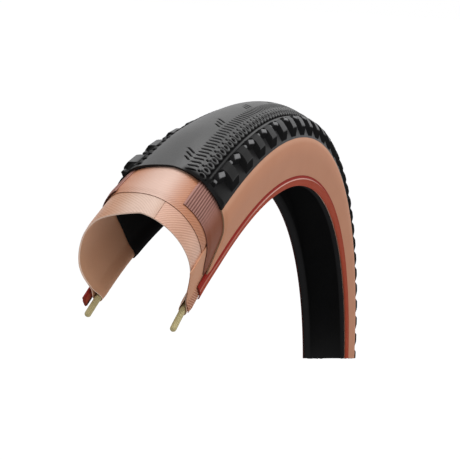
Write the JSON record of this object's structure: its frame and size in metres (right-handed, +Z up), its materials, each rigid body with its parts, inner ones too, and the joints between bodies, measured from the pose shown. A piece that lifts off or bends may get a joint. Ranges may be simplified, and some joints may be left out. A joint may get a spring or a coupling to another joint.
{
  "type": "bicycle tyre cutaway",
  "caption": "Cut length of a folding gravel bicycle tyre, its tread, plies, side strips, liner and bead cores stepped back in layers; grips the ground and holds air on a rim.",
  "frame": {"origin": "centre of the wheel that the tyre belongs to, on the axle line", "axes": "+Y along the axle towards the left side, +Z up, +X towards the far cut end"},
  "size_m": [0.4299, 0.0495, 0.3313],
  "materials": {
    "tread_rubber": "matte black rubber, slick centre, knobbed shoulders",
    "sidewall_rubber": "smooth tan rubber",
    "guard_fabric": "ribbed mauve brown fabric",
    "ply_fabric": "tan rubbered cord ply",
    "casing_fabric": "tan rubbered cord ply, brown inside",
    "bead_fabric": "tan woven strip",
    "liner_rubber": "smooth black rubber skin",
    "chafer_rubber": "satin brick red rubber",
    "core_fibre": "straw yellow fibre bundle"
  },
  "bodies": {
    "root": {"tread": "tread_rubber", "sidewall_left": "sidewall_rubber", "sidewall_right": "sidewall_rubber", "guard_strip_left": "guard_fabric", "guard_strip_right": "guard_fabric", "breaker_ply": "ply_fabric", "casing_ply": "casing_fabric", "bead_strip_left": "bead_fabric", "bead_strip_right": "bead_fabric", "inner_liner": "liner_rubber", "chafer_left": "chafer_rubber", "chafer_right": "chafer_rubber", "bead_core_left": "core_fibre", "bead_core_right": "core_fibre"}
  },
  "joints": []
}
